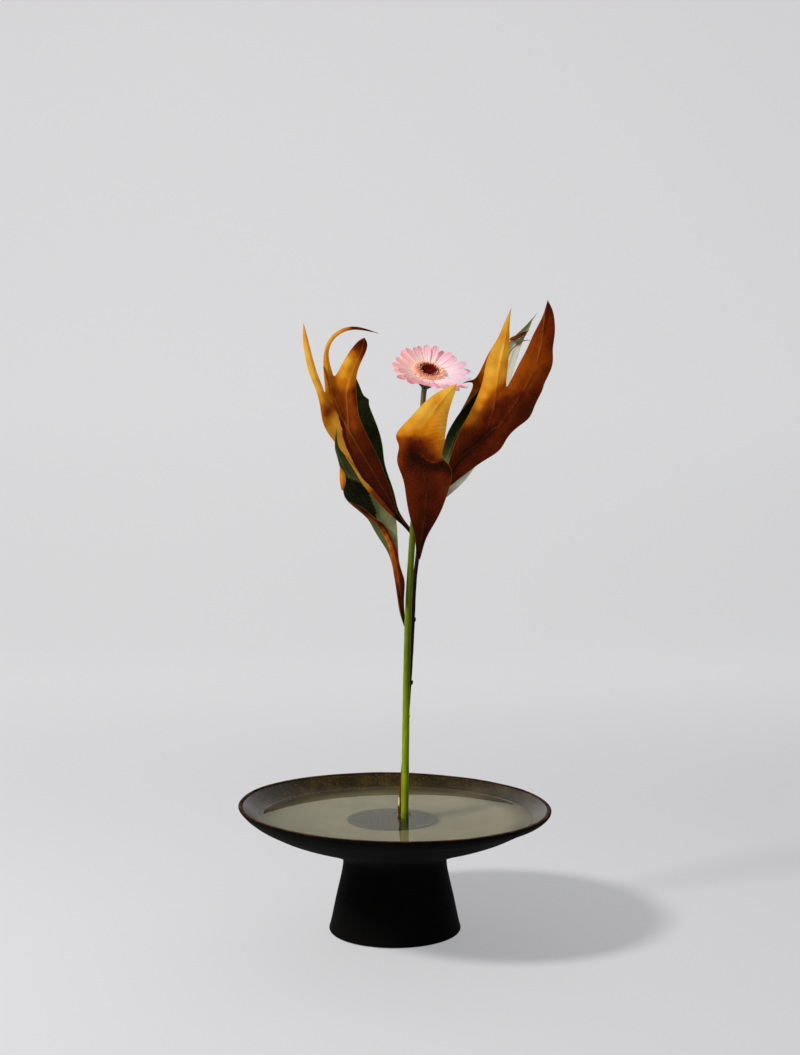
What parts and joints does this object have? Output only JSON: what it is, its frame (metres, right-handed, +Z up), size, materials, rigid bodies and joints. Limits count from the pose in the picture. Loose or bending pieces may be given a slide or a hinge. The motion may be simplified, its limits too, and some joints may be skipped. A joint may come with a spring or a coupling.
{
  "type": "ikebana arrangement",
  "caption": "Ikebana arrangement: a pink gerbera and a branch of copper-backed leaves on a pin holder in the water of a black stoneware pedestal dish.",
  "frame": {"origin": "middle of the foot ring, on the surface that the bowl stands on", "axes": "+Z up, -Y towards the front from which the arrangement is seen, +X to its right"},
  "size_m": [0.26, 0.26, 0.5219],
  "materials": {
    "stoneware": "matte",
    "water": "gloss",
    "lead": "satin",
    "brass_needle": "satin",
    "stem_green": "satin",
    "calyx_green": "satin",
    "disc_maroon": "matte",
    "ring_peach": "matte",
    "petal_pink": "matte",
    "bark": "matte",
    "leaf_copper": "satin",
    "leaf_green": "satin",
    "leaf_pale": "satin"
  },
  "bodies": {
    "root": {"pedestal_bowl": "stoneware", "water": "water", "kenzan_base": "lead", "kenzan_needles": "brass_needle", "gerbera_stem": "stem_green", "gerbera_calyx": "calyx_green", "gerbera_disc": "disc_maroon", "trans_floret_ring": "ring_peach", "leaf_branch": "bark", "left_front_leaf": "leaf_copper", "left_back_leaf": "leaf_green", "left_low_leaf": "leaf_green", "centre_front_leaf": "leaf_copper", "right_front_leaf": "leaf_copper", "right_inner_leaf": "leaf_green", "right_back_leaf": "leaf_pale", "right_side_leaf": "leaf_copper", "outer_petal_01": "petal_pink", "outer_petal_02": "petal_pink", "outer_petal_03": "petal_pink", "outer_petal_04": "petal_pink", "outer_petal_05": "petal_pink", "outer_petal_06": "petal_pink", "outer_petal_07": "petal_pink", "outer_petal_08": "petal_pink", "outer_petal_09": "petal_pink", "outer_petal_10": "petal_pink", "outer_petal_11": "petal_pink", "outer_petal_12": "petal_pink", "outer_petal_13": "petal_pink", "outer_petal_14": "petal_pink", "outer_petal_15": "petal_pink", "outer_petal_16": "petal_pink", "outer_petal_17": "petal_pink", "outer_petal_18": "petal_pink", "outer_petal_19": "petal_pink", "outer_petal_20": "petal_pink", "inner_petal_01": "petal_pink", "inner_petal_02": "petal_pink", "inner_petal_03": "petal_pink", "inner_petal_04": "petal_pink", "inner_petal_05": "petal_pink", "inner_petal_06": "petal_pink", "inner_petal_07": "petal_pink", "inner_petal_08": "petal_pink", "inner_petal_09": "petal_pink", "inner_petal_10": "petal_pink", "inner_petal_11": "petal_pink", "inner_petal_12": "petal_pink", "inner_petal_13": "petal_pink", "inner_petal_14": "petal_pink", "inner_petal_15": "petal_pink", "inner_petal_16": "petal_pink", "inner_petal_17": "petal_pink", "inner_petal_18": "petal_pink", "inner_petal_19": "petal_pink", "inner_petal_20": "petal_pink"}
  },
  "joints": []
}
